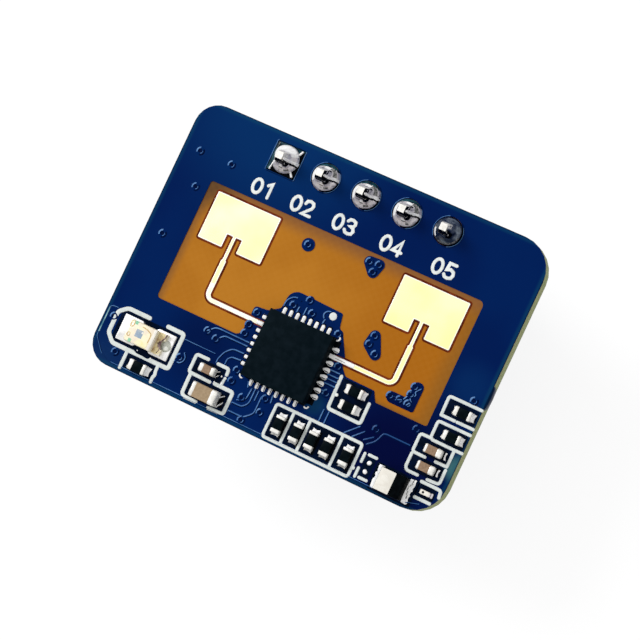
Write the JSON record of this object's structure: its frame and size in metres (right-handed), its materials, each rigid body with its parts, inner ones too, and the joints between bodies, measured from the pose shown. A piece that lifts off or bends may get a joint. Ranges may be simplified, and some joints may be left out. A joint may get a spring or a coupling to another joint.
{
  "type": "microwave radar sensor module",
  "caption": "Small blue circuit board with two patch antennas in an unmasked window, a radar chip, chip parts, an indicator lamp and a row of header pins.",
  "frame": {"origin": "middle of the board's underside, on the lower solder mask", "axes": "+Z out of the component side, +X along the board's long side from the first header pin towards the last, +Y towards the header edge"},
  "size_m": [0.022, 0.016, 0.011],
  "materials": {
    "laminate": "cut glass-fibre edge, bare satin face",
    "solder_mask": "glossy photo-imaged film",
    "gold_foil": "immersion gold, satin",
    "header_plastic": "moulded, satin",
    "pin_metal": "tin plated, bright",
    "solder": "reflowed tin, bright",
    "mould_compound": "moulded epoxy, matte",
    "resistor_glaze": "overglaze with tinned end bands",
    "capacitor_ceramic": "fired ceramic with tinned end bands",
    "lamp_white": "white laminate and tinned lands",
    "lamp_resin": "clear moulded resin"
  },
  "bodies": {
    "root": {"board_laminate": "laminate", "solder_mask_top": "solder_mask", "solder_mask_bottom": "solder_mask", "mask_island_single": "solder_mask", "mask_island_trefoil": "solder_mask", "mask_island_triple": "solder_mask", "mask_island_hook": "solder_mask", "antenna_left": "gold_foil", "antenna_right": "gold_foil", "header_housing": "header_plastic", "header_pin_1": "pin_metal", "header_pin_2": "pin_metal", "header_pin_3": "pin_metal", "header_pin_4": "pin_metal", "header_pin_5": "pin_metal", "solder_joint_1": "solder", "solder_joint_2": "solder", "solder_joint_3": "solder", "solder_joint_4": "solder", "solder_joint_5": "solder", "tinned_pad_1": "solder", "tinned_pad_2": "solder", "radar_chip": "mould_compound", "clamp_diode": "mould_compound", "row_resistor_1": "resistor_glaze", "row_resistor_2": "resistor_glaze", "row_resistor_3": "resistor_glaze", "row_resistor_4": "resistor_glaze", "row_resistor_5": "resistor_glaze", "pair_resistor_1": "resistor_glaze", "pair_resistor_2": "resistor_glaze", "edge_resistor_1": "resistor_glaze", "edge_resistor_2": "resistor_glaze", "lamp_resistor": "resistor_glaze", "edge_capacitor_1": "capacitor_ceramic", "edge_capacitor_2": "capacitor_ceramic", "bypass_capacitor": "capacitor_ceramic", "bulk_capacitor": "capacitor_ceramic", "lamp_base": "lamp_white", "tiny_suppressor": "lamp_white", "lamp_lens": "lamp_resin"}
  },
  "joints": []
}
